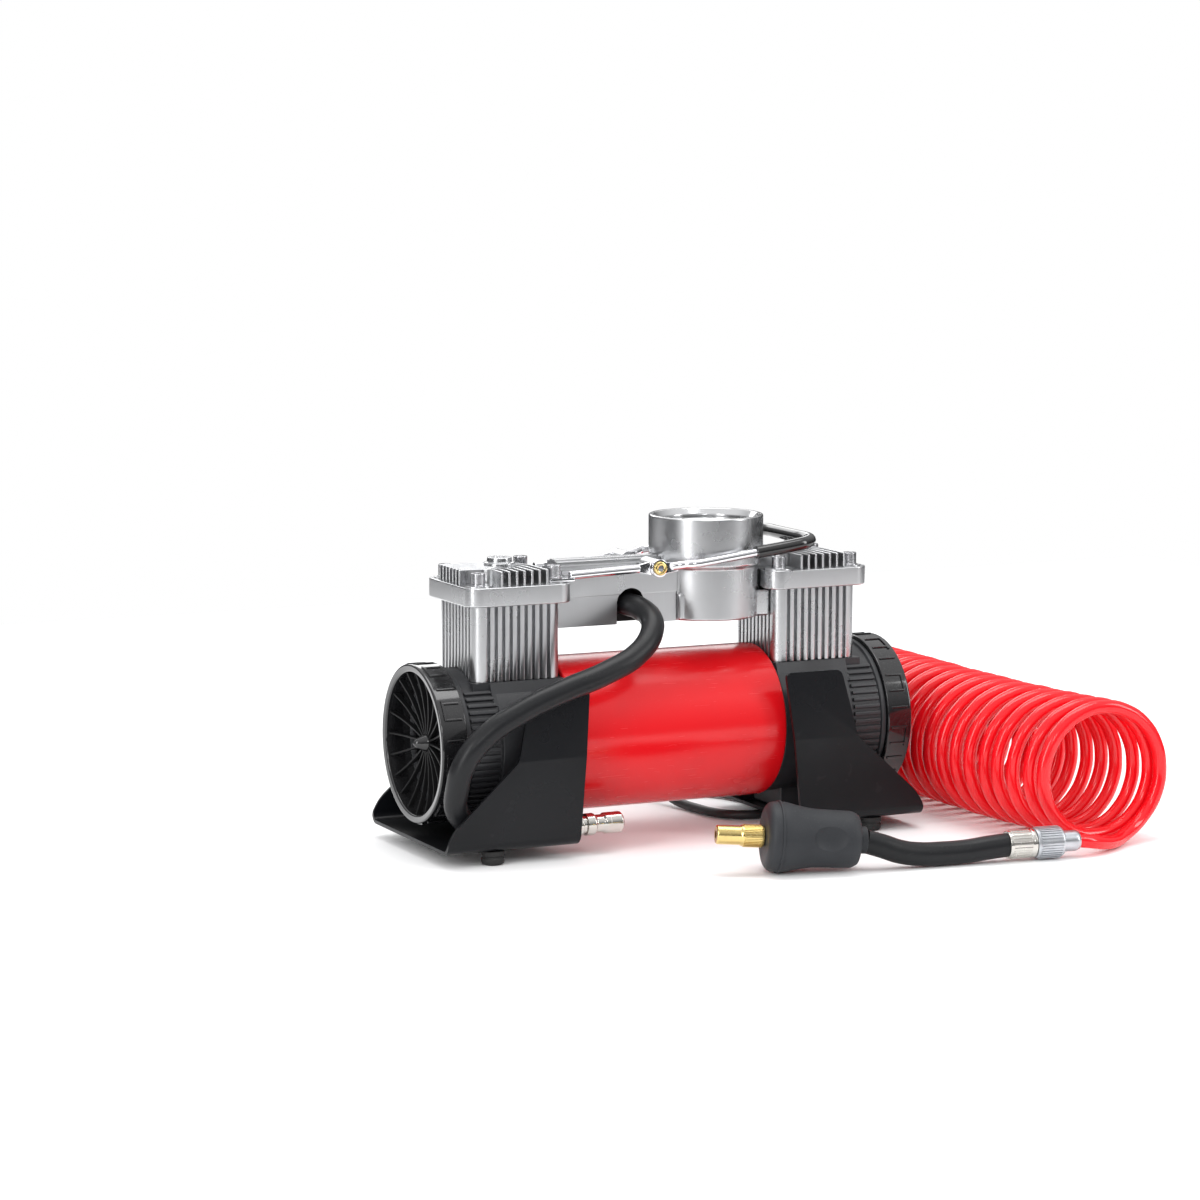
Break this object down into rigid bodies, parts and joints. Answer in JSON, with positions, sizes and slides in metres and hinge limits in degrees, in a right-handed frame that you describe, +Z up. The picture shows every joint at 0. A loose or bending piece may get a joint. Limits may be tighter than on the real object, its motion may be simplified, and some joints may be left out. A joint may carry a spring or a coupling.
{
  "type": "air compressor",
  "caption": "Portable tyre compressor: round motor on bent brackets, a ribbed pump at each end, gauge on top, folding carry handle, outlet hose and a loose spiral tyre hose.",
  "frame": {"origin": "on the floor under the middle of the compressor, without its hoses and lead", "axes": "+X along the motor shaft towards the gauge end, -Y the front with the outlet hose, +Z up"},
  "size_m": [0.444, 0.3915, 0.186],
  "materials": {
    "red_lacquer": "gloss lacquer",
    "ferrite": "matt",
    "steel": "machined",
    "armature_copper": "lacquered windings",
    "case_grey": "satin dark grey",
    "gloss_black": "gloss",
    "satin_casting": "satin silver",
    "piston_alloy": "machined",
    "screw_steel": "plated",
    "gauge_black": "matt",
    "dial_face": "printed scale",
    "needle_red": "matt",
    "clear_lens": "clear",
    "bracket_black": "satin powder coat",
    "foot_rubber": "matt",
    "polished_chrome": "polished",
    "brass": "bright",
    "grip_black": "gloss vinyl",
    "hose_rubber": "semi-matt",
    "nickel": "nickel plate",
    "zinc": "dull zinc",
    "lead_black": "semi-matt",
    "chuck_rubber": "matt dark grey",
    "red_tube": "gloss polyurethane"
  },
  "bodies": {
    "compressor": {"motor_can": "red_lacquer", "magnet_front": "ferrite", "magnet_rear": "ferrite", "left_bearing": "steel", "right_bearing": "steel", "left_valve_plate": "steel", "right_valve_plate": "steel", "left_crankcase": "case_grey", "right_crankcase": "case_grey", "left_end_cover": "gloss_black", "right_end_cover": "gloss_black", "left_cylinder": "satin_casting", "right_cylinder": "satin_casting", "left_head": "satin_casting", "right_head": "satin_casting", "manifold": "satin_casting", "gauge_pod": "satin_casting", "left_head_screw_1": "screw_steel", "left_head_screw_2": "screw_steel", "left_head_screw_3": "screw_steel", "left_head_screw_4": "screw_steel", "right_head_screw_1": "screw_steel", "right_head_screw_2": "screw_steel", "right_head_screw_3": "screw_steel", "right_head_screw_4": "screw_steel", "gauge_case": "gauge_black", "gauge_dial": "dial_face", "gauge_lens": "clear_lens", "left_bracket": "bracket_black", "right_bracket": "bracket_black", "left_front_foot": "foot_rubber", "left_rear_foot": "foot_rubber", "right_front_foot": "foot_rubber", "right_rear_foot": "foot_rubber", "handle_stay_front": "polished_chrome", "handle_stay_rear": "polished_chrome", "handle_rivet_front": "brass", "handle_rivet_rear": "brass", "outlet_hose": "hose_rubber", "outlet_nipple": "nickel", "lead_gland": "lead_black", "power_lead": "lead_black", "power_lead_coil": "lead_black", "power_plug": "lead_black"},
    "rotor": {"motor_shaft": "steel", "armature": "armature_copper", "left_crank": "steel", "right_crank": "steel"},
    "left_piston": {"left_piston_rod": "piston_alloy"},
    "right_piston": {"right_piston_rod": "piston_alloy"},
    "handle": {"handle_bail": "polished_chrome", "handle_grip": "grip_black"},
    "needle": {"gauge_needle": "needle_red"},
    "chuck_tip": {"chuck_nose": "brass"},
    "tyre_hose": {"chuck_body": "chuck_rubber", "whip_hose": "hose_rubber", "whip_ferrule": "nickel", "swivel_nut": "zinc", "spiral_hose": "red_tube", "hose_coupler": "nickel"}
  },
  "joints": [
    {"name": "motor_spin", "type": "hinge", "parent": "compressor", "child": "rotor", "pos_m": [0, 0, 0.063], "axis": [1, 0, 0], "continuous": true},
    {"name": "left_piston_stroke", "type": "slide", "parent": "compressor", "child": "left_piston", "axis": [0, 0, 1], "range_m": [-0.012, 0]},
    {"name": "right_piston_stroke", "type": "slide", "parent": "compressor", "child": "right_piston", "axis": [0, 0, 1], "range_m": [0, 0.012]},
    {"name": "handle_fold", "type": "hinge", "parent": "compressor", "child": "handle", "pos_m": [-0.008, 0, 0.1593], "axis": [0, -1, 0], "range_deg": [0, 160]},
    {"name": "gauge_pointer", "type": "hinge", "parent": "compressor", "child": "needle", "pos_m": [0.0362, 0, 0.175], "axis": [0, 0, -1], "range_deg": [0, 270], "stiffness_Nm_per_rad": 0.0002},
    {"name": "hose_pulled_away", "type": "slide", "parent": "compressor", "child": "tyre_hose", "axis": [1, 0, 0], "range_m": [0, 0.3]},
    {"name": "chuck_tip_turn", "type": "hinge", "parent": "tyre_hose", "child": "chuck_tip", "pos_m": [0.003, -0.1335, 0.0209], "axis": [0.9568, -0.2829, -0.0666], "continuous": true}
  ]
}
